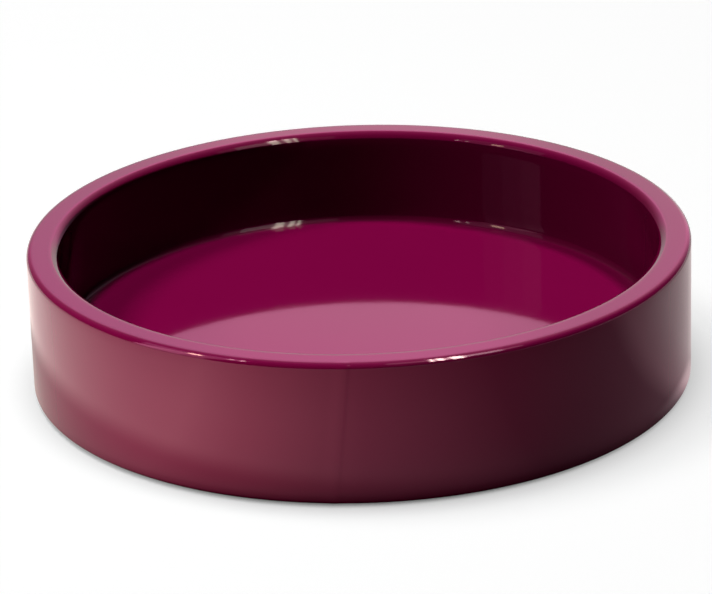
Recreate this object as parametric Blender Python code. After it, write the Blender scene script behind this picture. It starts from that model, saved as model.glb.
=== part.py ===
"""Round lacquered tray: a laminated hoop, a board let into it, and one built-up coat of lacquer over both.

Metres, +Z up. The origin is the centre of the footprint, on the surface that the tray stands on.
A piece's height is counted from the surface, its radius from the tray's axis.
"""

import bmesh
import bpy
from math import acos, cos, pi, radians, sin, tau
from mathutils import Matrix

# Outside sizes of the lacquered tray
TRAY_DIAMETER = 0.250
WALL_HEIGHT = 0.0537
WALL_THICKNESS = 0.012
FLOOR_HEIGHT = 0.0163

# Rounded edges and the cove, on the lacquer's seen face
RIM_OUTER_ROUND = 0.0025
RIM_INNER_ROUND = 0.0020
FOOT_OUTER_ROUND = 0.0020
FOOT_INNER_ROUND = 0.0015
FLOOR_COVE = 0.0016

# Sheet and board stock
COAT_THICKNESS = 0.0010
PANEL_THICKNESS = 0.0090
FELT_THICKNESS = 0.0010
PAD_THICKNESS = 0.0010
PAD_DIAMETER = 0.0065
PAD_SETBACK = 0.0040
PAD_COUNT = 4

# Joints of the bent strips
JOINT_ANGLE = radians(-95.0)
JOINT_STAGGER = radians(120.0)
JOINT_LEAN = radians(-5.8)
FILLER_WIDTH = 0.0050

# Space between neighbouring pieces, and how far a cutter reaches past what it cuts
CLEARANCE = 0.0003
CUT_OVERRUN = 0.0020

# How finely round shapes are divided
FACETS = 80
SEEN_ROUND_STEPS = 3
HIDDEN_ROUND_STEPS = 2
PAD_FACETS = 24
SMOOTH_ANGLE = radians(35.0)

# Heights and radii that follow
STRIP_LAYERS = 3
TRAY_RADIUS = TRAY_DIAMETER / 2
INSIDE_RADIUS = TRAY_RADIUS - WALL_THICKNESS
FOOT_Z = PAD_THICKNESS + CLEARANCE
RIM_Z = FOOT_Z + WALL_HEIGHT
FLOOR_Z = FOOT_Z + FLOOR_HEIGHT
SKIN_DEPTH = COAT_THICKNESS + CLEARANCE
WOOD_BOTTOM_Z = FOOT_Z + SKIN_DEPTH
WOOD_TOP_Z = RIM_Z - SKIN_DEPTH
PANEL_TOP_Z = FLOOR_Z - SKIN_DEPTH
PANEL_BOTTOM_Z = PANEL_TOP_Z - PANEL_THICKNESS
RECESS_TOP_Z = PANEL_BOTTOM_Z - CLEARANCE
LAYER_GAPS = (STRIP_LAYERS - 1) * CLEARANCE
STRIP_THICKNESS = (WALL_THICKNESS - 2 * SKIN_DEPTH - LAYER_GAPS) / STRIP_LAYERS

# Colours as linear RGB, with roughness; nothing on the tray is metal
LACQUER = ((0.180, 0.003, 0.050), 0.08)
BENTWOOD = ((0.560, 0.380, 0.210), 0.70)
BOARD = ((0.470, 0.330, 0.200), 0.75)
FILLER = ((0.620, 0.500, 0.360), 0.85)
FELT = ((0.035, 0.012, 0.022), 0.95)


def clear_scene():
    """Removes whatever the scene holds."""
    for item in list(bpy.data.objects):
        bpy.data.objects.remove(item, do_unlink=True)


def material(name, finish):
    """A plain finish from a colour and a roughness."""
    colour, roughness = finish
    made = bpy.data.materials.new(name)
    made.use_nodes = True
    shader = made.node_tree.nodes["Principled BSDF"]
    shader.inputs["Base Color"].default_value = (*colour, 1)
    shader.inputs["Roughness"].default_value = roughness
    shader.inputs["Metallic"].default_value = 0
    made.diffuse_color = (*colour, 1)
    return made


def add_piece(name, bm, finish, height):
    """Makes a piece from a mesh drawn about its own base, and stands it at a height under the tray."""
    bmesh.ops.recalc_face_normals(bm, faces=bm.faces)
    mesh = bpy.data.meshes.new(name)
    bm.to_mesh(mesh)
    bm.free()
    mesh.shade_smooth()
    mesh.set_sharp_from_angle(angle=SMOOTH_ANGLE)
    mesh.materials.append(material(name + "_finish", finish))
    piece = bpy.data.objects.new(name, mesh)
    piece.location = (0, 0, height)
    bpy.context.scene.collection.objects.link(piece)
    piece.parent = tray
    return piece


def arc(centre, radius, start, end, steps):
    """Points along an arc of a section, its angles counted from the outward direction."""
    turns = [start + (end - start) * step / steps for step in range(steps + 1)]
    return [(centre[0] + radius * cos(turn), centre[1] + radius * sin(turn)) for turn in turns]


def rounded_corner(corner, outward, upward, radius, start, steps):
    """A convex section corner: outward and upward say which way it points, start where its arc begins.

    The arc turns a quarter, anticlockwise. A radius of nothing leaves the sharp corner.
    """
    if radius <= 0:
        return [corner]
    centre = (corner[0] - outward * radius, corner[1] - upward * radius)
    return arc(centre, radius, start, start + pi / 2, steps)


def turned(outline, capped=False):
    """Spins a section of (radius, height) points once round the axis.

    A closed section makes a ring. A capped one is open, and a flat disc closes each of its two ends.
    """
    bm = bmesh.new()
    points = [bm.verts.new((radius, 0, height)) for radius, height in outline]
    partners = points[1:] if capped else points[1:] + points[:1]
    sides = [bm.edges.new(pair) for pair in zip(points, partners)]
    bmesh.ops.spin(
        bm, geom=points + sides, axis=(0, 0, 1), cent=(0, 0, 0), angle=tau, steps=FACETS, use_merge=True
    )
    if capped:
        open_edges = [edge for edge in bm.edges if edge.is_boundary]
        bmesh.ops.holes_fill(bm, edges=open_edges, sides=FACETS)
    return bm


def disc(radius, thickness, facets):
    """A flat round plate standing on its own base."""
    bm = bmesh.new()
    place = Matrix.Translation((0, 0, thickness / 2))
    bmesh.ops.create_cone(
        bm, cap_ends=True, segments=facets, radius1=radius, radius2=radius, depth=thickness, matrix=place
    )
    return bm


def strip_outside(layer):
    """Outside radius of a strip, the outermost being layer 0."""
    return TRAY_RADIUS - SKIN_DEPTH - layer * (STRIP_THICKNESS + CLEARANCE)


def strip_inside(layer):
    """Inside radius of a strip."""
    return strip_outside(layer) - STRIP_THICKNESS


def coat_face(depth, steps):
    """Section of the lacquer at a depth under its seen face, from the recess round to the floor.

    It runs down the recess, round the foot, up the outside, over the rim and down to the floor.
    """
    outside = TRAY_RADIUS - depth
    inside = INSIDE_RADIUS + depth
    foot = depth
    rim = WALL_HEIGHT - depth
    floor = FLOOR_HEIGHT - depth
    cove = FLOOR_COVE + depth
    cove_centre = (inside - cove, floor + cove)
    face = [(inside, RECESS_TOP_Z - FOOT_Z)]
    face += rounded_corner((inside, foot), -1, -1, FOOT_INNER_ROUND - depth, -pi, steps)
    face += rounded_corner((outside, foot), 1, -1, FOOT_OUTER_ROUND - depth, -pi / 2, steps)
    face += rounded_corner((outside, rim), 1, 1, RIM_OUTER_ROUND - depth, 0, steps)
    face += rounded_corner((inside, rim), -1, 1, RIM_INNER_ROUND - depth, pi / 2, steps)
    face += arc(cove_centre, cove, 0, -pi / 2, steps)
    return face


def make_lacquer_shell():
    """The built-up coat, one skin open to the recess in the underside."""
    seen = coat_face(0, SEEN_ROUND_STEPS)
    hidden = coat_face(COAT_THICKNESS, HIDDEN_ROUND_STEPS)
    section = seen[::-1] + hidden
    return add_piece("lacquer_shell", turned(section, capped=True), LACQUER, FOOT_Z)


def strip_section(layer, bottom, top, bottom_round, top_round, inward=False):
    """Closed section of a bent strip from its own base up, with one side's two corners eased."""
    low = 0
    high = top - bottom
    near = strip_inside(layer)
    far = strip_outside(layer)
    if inward:
        face = rounded_corner((near, high), -1, 1, top_round, pi / 2, HIDDEN_ROUND_STEPS)
        face += rounded_corner((near, low), -1, -1, bottom_round, -pi, HIDDEN_ROUND_STEPS)
        return face + [(far, low), (far, high)]
    face = rounded_corner((far, low), 1, -1, bottom_round, -pi / 2, HIDDEN_ROUND_STEPS)
    face += rounded_corner((far, high), 1, 1, top_round, 0, HIDDEN_ROUND_STEPS)
    return face + [(near, high), (near, low)]


def joint_cutter(name, angle, width):
    """A guide block through one side of the hoop, at an angle round the tray and leaning along the wall."""
    reach = WALL_THICKNESS + 2 * CUT_OVERRUN
    height = RIM_Z + 2 * CUT_OVERRUN
    bm = bmesh.new()
    bmesh.ops.create_cube(bm, size=1)
    bmesh.ops.scale(bm, vec=(reach, width, height), verts=bm.verts)
    mesh = bpy.data.meshes.new(name)
    bm.to_mesh(mesh)
    bm.free()
    cutter = bpy.data.objects.new(name, mesh)
    middle = TRAY_RADIUS - WALL_THICKNESS / 2
    cutter.location = (middle * cos(angle), middle * sin(angle), RIM_Z / 2)
    cutter.rotation_euler = (JOINT_LEAN, 0, angle)
    cutter.hide_render = True
    cutter.display_type = "WIRE"
    bpy.context.scene.collection.objects.link(cutter)
    cutter.parent = tray
    return cutter


def shape_with(piece, cutter, operation):
    """Cuts a piece by a guide block, or keeps only what lies inside it."""
    step = piece.modifiers.new(cutter.name, "BOOLEAN")
    step.operation = operation
    step.solver = "EXACT"
    step.object = cutter


def outer_strip_section():
    """Section of the outermost strip, eased where the coat turns round it."""
    foot_round = FOOT_OUTER_ROUND - SKIN_DEPTH
    rim_round = RIM_OUTER_ROUND - SKIN_DEPTH
    return strip_section(0, WOOD_BOTTOM_Z, WOOD_TOP_Z, foot_round, rim_round)


def make_outer_strip():
    """The outermost bent strip, its ends a filler's width apart at the joint."""
    strip = add_piece("outer_hoop_strip", turned(outer_strip_section()), BENTWOOD, WOOD_BOTTOM_Z)
    opening = FILLER_WIDTH + 2 * CLEARANCE
    shape_with(strip, joint_cutter("outer_joint_guide", JOINT_ANGLE, opening), "DIFFERENCE")


def make_seam_filler():
    """The upright key of filler between the outer strip's ends."""
    filler = add_piece("seam_filler", turned(outer_strip_section()), FILLER, WOOD_BOTTOM_Z)
    shape_with(filler, joint_cutter("filler_guide", JOINT_ANGLE, FILLER_WIDTH), "INTERSECT")


def make_middle_strip():
    """The middle strip, whole height, with its joint a stagger further round."""
    section = strip_section(1, WOOD_BOTTOM_Z, WOOD_TOP_Z, 0, 0)
    strip = add_piece("middle_hoop_strip", turned(section), BENTWOOD, WOOD_BOTTOM_Z)
    angle = JOINT_ANGLE + JOINT_STAGGER
    shape_with(strip, joint_cutter("middle_joint_guide", angle, CLEARANCE), "DIFFERENCE")


def make_inner_strip():
    """The inner strip above the board, which it holds down."""
    bottom = PANEL_TOP_Z + CLEARANCE
    section = strip_section(2, bottom, WOOD_TOP_Z, 0, RIM_INNER_ROUND - SKIN_DEPTH, inward=True)
    strip = add_piece("inner_hoop_strip", turned(section), BENTWOOD, bottom)
    angle = JOINT_ANGLE + 2 * JOINT_STAGGER
    shape_with(strip, joint_cutter("inner_joint_guide", angle, CLEARANCE), "DIFFERENCE")


def make_floor_ledge():
    """The inner strip under the board, which the board sits on."""
    section = strip_section(2, WOOD_BOTTOM_Z, RECESS_TOP_Z, FOOT_INNER_ROUND - SKIN_DEPTH, 0, inward=True)
    ledge = add_piece("floor_ledge", turned(section), BENTWOOD, WOOD_BOTTOM_Z)
    angle = JOINT_ANGLE + JOINT_STAGGER / 2
    shape_with(ledge, joint_cutter("ledge_joint_guide", angle, CLEARANCE), "DIFFERENCE")


def make_floor_panel():
    """The board, let in between the upper and lower inner strips up to the middle strip."""
    radius = strip_inside(1) - CLEARANCE
    add_piece("floor_panel", disc(radius, PANEL_THICKNESS, FACETS), BOARD, PANEL_BOTTOM_Z)


def make_corner_bead():
    """The bead of filler in the corner of board and wall, hollowed to the back of the cove."""
    leg = FLOOR_COVE + COAT_THICKNESS
    hollow = leg + CLEARANCE
    corner = (strip_inside(2) - CLEARANCE, 0)
    centre = (corner[0] - leg, leg)
    start = acos(leg / hollow)
    section = [corner] + arc(centre, hollow, -start, start - pi / 2, HIDDEN_ROUND_STEPS)
    add_piece("corner_bead", turned(section), FILLER, PANEL_TOP_Z + CLEARANCE)


def make_underside_felt():
    """The felt disc glued up under the board, inside the recess."""
    radius = INSIDE_RADIUS - CLEARANCE
    bottom = RECESS_TOP_Z - FELT_THICKNESS
    add_piece("underside_felt", disc(radius, FELT_THICKNESS, FACETS), FELT, bottom)


def make_foot_pads():
    """The felt pads that the tray stands on, spaced evenly under the wall and set back out of sight."""
    middle = TRAY_RADIUS - PAD_SETBACK - PAD_DIAMETER / 2
    for count in range(PAD_COUNT):
        angle = tau * (count + 0.5) / PAD_COUNT
        pad = add_piece(f"foot_pad_{count + 1}", disc(PAD_DIAMETER / 2, PAD_THICKNESS, PAD_FACETS), FELT, 0)
        pad.location = (middle * cos(angle), middle * sin(angle), 0)


clear_scene()
tray = bpy.data.objects.new("round_tray", None)
bpy.context.scene.collection.objects.link(tray)
make_lacquer_shell()
make_outer_strip()
make_seam_filler()
make_middle_strip()
make_inner_strip()
make_floor_ledge()
make_floor_panel()
make_corner_bead()
make_underside_felt()
make_foot_pads()
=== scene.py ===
"""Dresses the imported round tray: a thick, straight wall under one unbroken coat of plum-magenta lacquer.

Metres, +Z up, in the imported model's own frame, with the photograph's front towards -Y.
"""

import bpy
import numpy as np
from mathutils import Matrix, Vector


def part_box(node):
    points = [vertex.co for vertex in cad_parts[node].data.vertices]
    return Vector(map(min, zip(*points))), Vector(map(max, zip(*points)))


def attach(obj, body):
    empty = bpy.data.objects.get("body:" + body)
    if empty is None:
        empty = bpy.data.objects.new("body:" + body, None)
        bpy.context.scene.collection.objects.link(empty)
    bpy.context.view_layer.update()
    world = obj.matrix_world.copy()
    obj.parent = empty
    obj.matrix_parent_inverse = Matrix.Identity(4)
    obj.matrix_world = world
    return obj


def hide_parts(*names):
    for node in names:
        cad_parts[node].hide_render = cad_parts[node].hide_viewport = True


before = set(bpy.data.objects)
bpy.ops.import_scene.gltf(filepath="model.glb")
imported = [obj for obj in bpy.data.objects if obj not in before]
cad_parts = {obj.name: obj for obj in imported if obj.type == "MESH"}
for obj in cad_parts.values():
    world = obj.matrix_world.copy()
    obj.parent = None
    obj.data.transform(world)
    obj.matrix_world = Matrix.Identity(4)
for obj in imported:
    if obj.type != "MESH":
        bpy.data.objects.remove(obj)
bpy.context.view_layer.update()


# Bent strips
# The wall is a hoop glued up from three thin strips, with a fourth under the board as its ledge.
# They are bare birch ply, about 3 mm thick, with the grain running round. The coat hides them.
PALE_BIRCH = (0.60, 0.42, 0.24, 1)
DARK_BIRCH = (0.38, 0.23, 0.11, 1)
GRAIN_ROUND = 6.0
GRAIN_ACROSS = 900.0
WOOD_ROUGHNESS = 0.7


def new_material(name):
    """A new material with its nodes, its links and the Principled shader on its output."""
    material = bpy.data.materials.new(name)
    material.use_nodes = True
    tree = material.node_tree
    return material, tree.nodes, tree.links, tree.nodes["Principled BSDF"]


def blend_colours(nodes, links, factor, low, high):
    """Mixes two colours by a factor socket and gives the mixed colour's socket."""
    mix = nodes.new("ShaderNodeMix")
    mix.data_type = "RGBA"
    mix.inputs["A"].default_value = low
    mix.inputs["B"].default_value = high
    links.new(factor, mix.inputs["Factor"])
    return mix.outputs["Result"]


def noise(nodes, links, vector, scale, detail=2.0, roughness=0.5):
    """A noise texture's value at a vector socket."""
    texture = nodes.new("ShaderNodeTexNoise")
    texture.inputs["Scale"].default_value = scale
    texture.inputs["Detail"].default_value = detail
    texture.inputs["Roughness"].default_value = roughness
    links.new(vector, texture.inputs["Vector"])
    return texture.outputs["Fac"]


def math_node(nodes, links, operation, *values):
    """One Math node on sockets or plain numbers, giving its output socket."""
    node = nodes.new("ShaderNodeMath")
    node.operation = operation
    for place, value in enumerate(values):
        if isinstance(value, (int, float)):
            node.inputs[place].default_value = value
        else:
            links.new(value, node.inputs[place])
    return node.outputs["Value"]


def make_birch():
    """Birch whose grain follows the hoop: noise on the turn and the height, drawn out along the turn."""
    material, nodes, links, shader = new_material("bent_birch")
    place = nodes.new("ShaderNodeTexCoord")
    split = nodes.new("ShaderNodeSeparateXYZ")
    links.new(place.outputs["Object"], split.inputs["Vector"])
    turn = math_node(nodes, links, "ARCTAN2", split.outputs["Y"], split.outputs["X"])
    joined = nodes.new("ShaderNodeCombineXYZ")
    links.new(math_node(nodes, links, "MULTIPLY", turn, GRAIN_ROUND), joined.inputs["X"])
    links.new(math_node(nodes, links, "MULTIPLY", split.outputs["Z"], GRAIN_ACROSS), joined.inputs["Y"])
    grain = noise(nodes, links, joined.outputs["Vector"], 1.0, detail=6.0, roughness=0.65)
    colour = blend_colours(nodes, links, grain, PALE_BIRCH, DARK_BIRCH)
    links.new(colour, shader.inputs["Base Color"])
    shader.inputs["Roughness"].default_value = WOOD_ROUGHNESS
    return material


def dress(node, material):
    """Gives a carried-over solid its one material."""
    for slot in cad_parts[node].material_slots:
        slot.material = material


birch = make_birch()
for strip in ("outer_hoop_strip", "middle_hoop_strip", "inner_hoop_strip", "floor_ledge"):
    dress(strip, birch)


# Board
# A 9 mm disc of fibre board, which carries the load. It is let in between the upper and the lower
# inner strip and glued there.
BOARD_PALE = (0.50, 0.37, 0.24, 1)
BOARD_DARK = (0.36, 0.25, 0.15, 1)
BOARD_FIBRE = 1600.0
BOARD_ROUGHNESS = 0.8


def make_board():
    """Fibre board: a fine even fleck."""
    material, nodes, links, shader = new_material("fibre_board")
    place = nodes.new("ShaderNodeTexCoord")
    fleck = noise(nodes, links, place.outputs["Object"], BOARD_FIBRE, detail=4.0, roughness=0.7)
    colour = blend_colours(nodes, links, fleck, BOARD_DARK, BOARD_PALE)
    links.new(colour, shader.inputs["Base Color"])
    shader.inputs["Roughness"].default_value = BOARD_ROUGHNESS
    return material


dress("floor_panel", make_board())


# Filler
# A key of two-part filler closes the outer strip's joint at the front, and a bead of it eases the
# corner between board and wall. Both are sanded flush before the coat goes on.
FILLER_PALE = (0.66, 0.55, 0.40, 1)
FILLER_DARK = (0.52, 0.40, 0.27, 1)
FILLER_CLOUD = 350.0
FILLER_ROUGHNESS = 0.85


def make_filler():
    """Sanded two-part filler, faintly clouded."""
    material, nodes, links, shader = new_material("sanded_filler")
    place = nodes.new("ShaderNodeTexCoord")
    cloud = noise(nodes, links, place.outputs["Object"], FILLER_CLOUD, detail=3.0)
    colour = blend_colours(nodes, links, cloud, FILLER_DARK, FILLER_PALE)
    links.new(colour, shader.inputs["Base Color"])
    shader.inputs["Roughness"].default_value = FILLER_ROUGHNESS
    return material


filler = make_filler()
dress("seam_filler", filler)
dress("corner_bead", filler)


# Lacquer
# One built-up coat, about 1 mm in all, sprayed and polished to a mirror, wraps hoop and floor and ends
# in the recess. The wall's joint prints through it as a fine upright line, and the sprayed outside is
# a little wavier than the rubbed-out floor.
# On the steep inside wall the lacquer is painted shade: a deeper colour with less gloss stands in for the
# shade inside the hoop.
COAT = 0.001
RIM_OUTER_ROUND = 0.0022
RIM_INNER_WIDTH = 0.0028
RIM_INNER_DROP = 0.0022
FOOT_OUTER_ROUND = 0.0014
FOOT_INNER_ROUND = 0.0015
COVE = 0.0021
SANDED = 1.5

SEEN_FINE = 2
HIDDEN_FINE = 1
FOOT_INNER_POINTS = 5
FOOT_OUTER_POINTS = 6
OUTSIDE_POINTS = 14
RIM_OUTER_POINTS = 7
RIM_TOP_POINTS = 2
RIM_INNER_POINTS = 10
INSIDE_POINTS = 8
HIDDEN_POINTS = 2
COVE_POINTS = 10
SEEN_FLOOR_RINGS = 12
HIDDEN_FLOOR_RINGS = 2
TURN_LINES = 540
SEAM_LINES = 60

SEAM_TURN = np.radians(-92.5)
SEAM_LEAN = 0.101
SEAM_HALF_WIDTH = 0.0009
SEAM_DEPTH = 0.00003
SEAM_FADE = 0.012
SWELL_WIDTH = 0.006
SWELL_HEIGHT = 0.00020

WAVES = 6
OUTSIDE_WAVE = 0.00003
OUTSIDE_WAVE_TURNS = (12, 60)
OUTSIDE_WAVE_PITCH = (0.02, 0.07)
OUTSIDE_SEED = 3
INSIDE_WAVE = 0.00002
INSIDE_WAVE_TURNS = (10, 40)
INSIDE_WAVE_PITCH = (0.02, 0.06)
INSIDE_SEED = 5
FLOOR_WAVE = 0.000004
FLOOR_WAVE_TURNS = (3, 9)
FLOOR_WAVE_PITCH = (0.03, 0.09)
FLOOR_SEED = 7

LACQUER_COLOUR = (0.195, 0.0012, 0.050, 1)
LACQUER_DEEP = (0.180, 0.0010, 0.046, 1)
# The inside wall's colour below is painted shade, a deeper lacquer that stands in for the shade there.
LACQUER_INSIDE_PAINTED_SHADE = (0.105, 0.0007, 0.0245, 1)
CLOUD_SCALE = 22.0
PAINTED_SHADE_FROM = 0.35
PAINTED_SHADE_OVER = 0.35
SELF_LIGHT = 0.15
GLOSS_OPEN = 0.5
GLOSS_INSIDE = 0.05
GLOSS_TINT = (1.0, 0.6, 0.8, 1)
LACQUER_IOR = 1.5
CLEAR_WEIGHT = 0.1
CLEAR_ROUGHNESS = 0.02
HAZE_SCALE = 45.0
POLISH = (0.045, 0.075)
PEEL_SCALE = 320.0
PEEL_HEIGHT = 0.000004
NIB_CELLS = 90.0
NIB_SHARE = 0.3
NIB_RADIUS = 0.00035
NIB_HEIGHT = 0.00006

shell_low, shell_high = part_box("lacquer_shell")
bead_low, bead_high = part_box("corner_bead")
felt_low, felt_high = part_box("underside_felt")
outside_radius = shell_high.x
inside_radius = bead_high.x - COAT
foot_z = shell_low.z
rim_z = shell_high.z
floor_z = bead_low.z + COAT
recess_z = felt_high.z


def arc_points(centre, radii, start, end, count, ease=1.0):
    """An arc in the (radius, height) plane, its angle counted from straight outwards.

    Each coordinate is the circle's raised to the power ease, so above 1 the middle of the arc flattens.
    """
    turn = np.radians(np.linspace(start, end, count))
    circle = np.stack([np.cos(turn), np.sin(turn)], 1)
    return np.array(centre) + np.array(radii) * np.sign(circle) * np.abs(circle) ** ease


def run_points(start, end, count):
    """Points inside a straight run, without its two ends."""
    share = np.linspace(0, 1, count + 2)[1:-1, None]
    return np.array(start) + share * (np.array(end) - np.array(start))


def coat_section(depth, fine):
    """Section of the coat at a depth below its seen face, from the recess's top round to the floor.

    Straight runs and quarter arcs follow the wall: down the recess, round the foot, up the outside,
    over the rim, down the inside, round the cove. fine multiplies the arcs' points, and the hidden
    face's straight runs get only two.
    """
    out = outside_radius - depth
    into = inside_radius + depth
    low = foot_z + depth
    high = rim_z - depth
    base = floor_z - depth
    foot_in = FOOT_INNER_ROUND - depth
    foot_out = FOOT_OUTER_ROUND - depth
    rim_out = RIM_OUTER_ROUND - depth
    rim_in = RIM_INNER_WIDTH - depth
    drop = RIM_INNER_DROP - depth
    cove = COVE + depth
    outside = OUTSIDE_POINTS if fine == SEEN_FINE else HIDDEN_POINTS
    inside = INSIDE_POINTS if fine == SEEN_FINE else HIDDEN_POINTS
    foot_in_place = (into + foot_in, low + foot_in)
    foot_out_place = (out - foot_out, low + foot_out)
    rim_out_place = (out - rim_out, high - rim_out)
    rim_in_place = (into + rim_in, high - drop)
    cove_place = (into - cove, base + cove)
    pieces = [
        np.array([[into, recess_z]]),
        arc_points(foot_in_place, (foot_in, foot_in), 180, 270, FOOT_INNER_POINTS * fine),
        arc_points(foot_out_place, (foot_out, foot_out), 270, 360, FOOT_OUTER_POINTS * fine),
        run_points((out, low + foot_out), (out, high - rim_out), outside),
        arc_points(rim_out_place, (rim_out, rim_out), 0, 90, RIM_OUTER_POINTS * fine),
        run_points((out - rim_out, high), (into + rim_in, high), RIM_TOP_POINTS * fine),
        arc_points(rim_in_place, (rim_in, drop), 90, 180, RIM_INNER_POINTS * fine, SANDED),
        run_points((into, high - drop), (into, base + cove), inside),
        arc_points(cove_place, (cove, cove), 0, -90, COVE_POINTS * fine, SANDED),
    ]
    return np.concatenate(pieces)


def floor_rings(edge_radius, height, count):
    """Rings of the floor from just inside the cove to just short of the centre."""
    radii = edge_radius * (1 - np.linspace(0, 1, count + 2)[1:-1])
    return np.stack([radii, np.full(count, height)], 1)


def turn_angles():
    """Even turns round the tray, with more of them where the joint prints through."""
    even = np.linspace(-np.pi, np.pi, TURN_LINES, endpoint=False)
    reach = 2 * SWELL_WIDTH / outside_radius
    close = SEAM_TURN + np.linspace(-reach, reach, SEAM_LINES)
    return np.unique(np.round(np.concatenate([even, close]), 6))


def wave(turn, height, seed, turns, pitch):
    """Mean of a few long waves in turn and height, each with its own phase, about one unit high."""
    draw = np.random.default_rng(seed)
    total = np.zeros(np.broadcast(turn, height).shape)
    for _ in range(WAVES):
        round_count = draw.integers(turns[0], turns[1])
        rise = 2 * np.pi / draw.uniform(pitch[0], pitch[1])
        phase = draw.uniform(0, 2 * np.pi, 2)
        total += np.cos(round_count * turn + phase[0]) * np.cos(rise * height + phase[1])
    return total / WAVES


def turned_grid(section, turn):
    """Carries a section round the axis: rows are section points, columns are turns."""
    radius = section[:, :1]
    height = np.broadcast_to(section[:, 1:], (len(section), turn.size))
    return np.stack([radius * np.cos(turn), radius * np.sin(turn), height], 2)


def section_normals(section):
    """Unit normals of a section in its own plane, from the central difference of its points."""
    along = np.gradient(section, axis=0)
    length = np.linalg.norm(along, axis=1, keepdims=True)
    return np.stack([along[:, 1], -along[:, 0]], 1) / length


def coat_lift(seen, normal, turn):
    """How far the seen face stands out at each section point and turn.

    It is the sum of long waves of the spray, less a Gaussian groove across the joint that fades out
    near the rim, plus the swell over the filler. The swell falls off to the joint's left as a squared
    cosine, and to its right as that Gaussian.
    """
    radius = seen[:, :1]
    height = seen[:, 1:]
    on_outside = np.clip(normal[:, :1], 0, 1)
    on_inside = np.clip(-normal[:, :1], 0, 1) * (height > floor_z)
    on_floor = (radius < inside_radius) & (height < floor_z + COVE)
    outside_wave = wave(turn, height, OUTSIDE_SEED, OUTSIDE_WAVE_TURNS, OUTSIDE_WAVE_PITCH)
    inside_wave = wave(turn, height, INSIDE_SEED, INSIDE_WAVE_TURNS, INSIDE_WAVE_PITCH)
    floor_wave = wave(turn, radius, FLOOR_SEED, FLOOR_WAVE_TURNS, FLOOR_WAVE_PITCH)
    lift = OUTSIDE_WAVE * on_outside * outside_wave
    lift = lift + INSIDE_WAVE * on_inside * inside_wave
    lift = lift + FLOOR_WAVE * on_floor * floor_wave
    seam = SEAM_TURN + SEAM_LEAN * (height - rim_z) / outside_radius
    across = (turn - seam) * outside_radius
    groove = np.exp(-((across / SEAM_HALF_WIDTH) ** 2))
    fade = np.clip((rim_z - height) / SEAM_FADE, 0, 1) * on_outside
    lift = lift - SEAM_DEPTH * fade * groove
    falling = np.cos(np.clip(across / SWELL_WIDTH, -1, 0) * np.pi / 2) ** 2
    swell = np.maximum(np.where(across < 0, falling, 0), groove)
    return lift + SWELL_HEIGHT * swell * on_outside


def ring_quads(rows, columns):
    """Quads between neighbouring rings of a grid whose last column joins its first."""
    row = np.arange(rows - 1)[:, None] * columns
    column = np.arange(columns)[None, :]
    first = row + column
    second = row + (column + 1) % columns
    return np.stack([first, second, second + columns, first + columns], 2).reshape(-1, 4)


def pole_fan(pole, start, columns):
    """Triangles from a pole to each side of the ring whose points begin at start."""
    column = np.arange(columns)
    return np.stack([np.full(columns, pole), start + column, start + (column + 1) % columns], 1)


def turned_over(faces):
    """The same faces with their corners the other way round, so that they face the other way."""
    return np.roll(faces[:, ::-1], 1, axis=1)


def shell_surface():
    """The coat's closed skin: its points, quads, triangles and each point's share of painted inside shade.

    The seen section goes on as rings to a pole at the floor's centre. The hidden face comes back from
    its own pole to the recess's top. The seen face stands out along its normals by coat_lift.
    """
    floor_edge = inside_radius - COVE
    seen_floor = floor_rings(floor_edge, floor_z, SEEN_FLOOR_RINGS)
    hidden_floor = floor_rings(floor_edge, floor_z - COAT, HIDDEN_FLOOR_RINGS)
    seen = np.concatenate([coat_section(0.0, SEEN_FINE), seen_floor])
    hidden = np.concatenate([coat_section(COAT, HIDDEN_FINE), hidden_floor])
    turn = turn_angles()[None, :]
    normal = section_normals(seen)
    lift = coat_lift(seen, normal, turn)
    radius = seen[:, :1] + lift * normal[:, :1]
    height = seen[:, 1:] + lift * normal[:, 1:]
    front = np.stack([radius * np.cos(turn), radius * np.sin(turn), height], 2)
    rear = turned_grid(hidden, turn)[::-1]
    grid = np.concatenate([rear, front])
    rows, columns = grid.shape[:2]
    hidden_pole = rows * columns
    seen_pole = hidden_pole + 1
    points = np.concatenate([grid.reshape(-1, 3), [[0, 0, floor_z - COAT], [0, 0, floor_z]]])
    hidden_fan = turned_over(pole_fan(hidden_pole, 0, columns))
    seen_fan = pole_fan(seen_pole, (rows - 1) * columns, columns)
    on_inside = np.clip(-normal[:, 0], 0, 1) * (seen[:, 1] > floor_z)
    # Painted shade: the steep inside wall takes a share from 0 to 1 that deepens its colour and lowers its
    # gloss.
    painted_shade_share = np.clip((on_inside - PAINTED_SHADE_FROM) / PAINTED_SHADE_OVER, 0, 1)
    inside = np.repeat(np.concatenate([np.zeros(len(rear)), painted_shade_share]), columns)
    inside = np.concatenate([inside, [0, 0]])
    return points, ring_quads(rows, columns), np.concatenate([hidden_fan, seen_fan]), inside


def make_mesh(name, points, quads, triangles=np.zeros((0, 3), int)):
    """A smooth-shaded object at the origin from arrays of vertices, quads and triangles."""
    mesh = bpy.data.meshes.new(name)
    mesh.vertices.add(len(points))
    mesh.vertices.foreach_set("co", points.astype(np.float32).ravel())
    corners = np.concatenate([quads.ravel(), triangles.ravel()])
    mesh.loops.add(len(corners))
    mesh.loops.foreach_set("vertex_index", corners.astype(np.int32))
    sizes = np.concatenate([np.full(len(quads), 4), np.full(len(triangles), 3)])
    starts = np.concatenate([[0], np.cumsum(sizes)[:-1]])
    mesh.polygons.add(len(sizes))
    mesh.polygons.foreach_set("loop_start", starts.astype(np.int32))
    mesh.update(calc_edges=True)
    mesh.validate()
    mesh.shade_smooth()
    piece = bpy.data.objects.new(name, mesh)
    bpy.context.scene.collection.objects.link(piece)
    return piece


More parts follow.
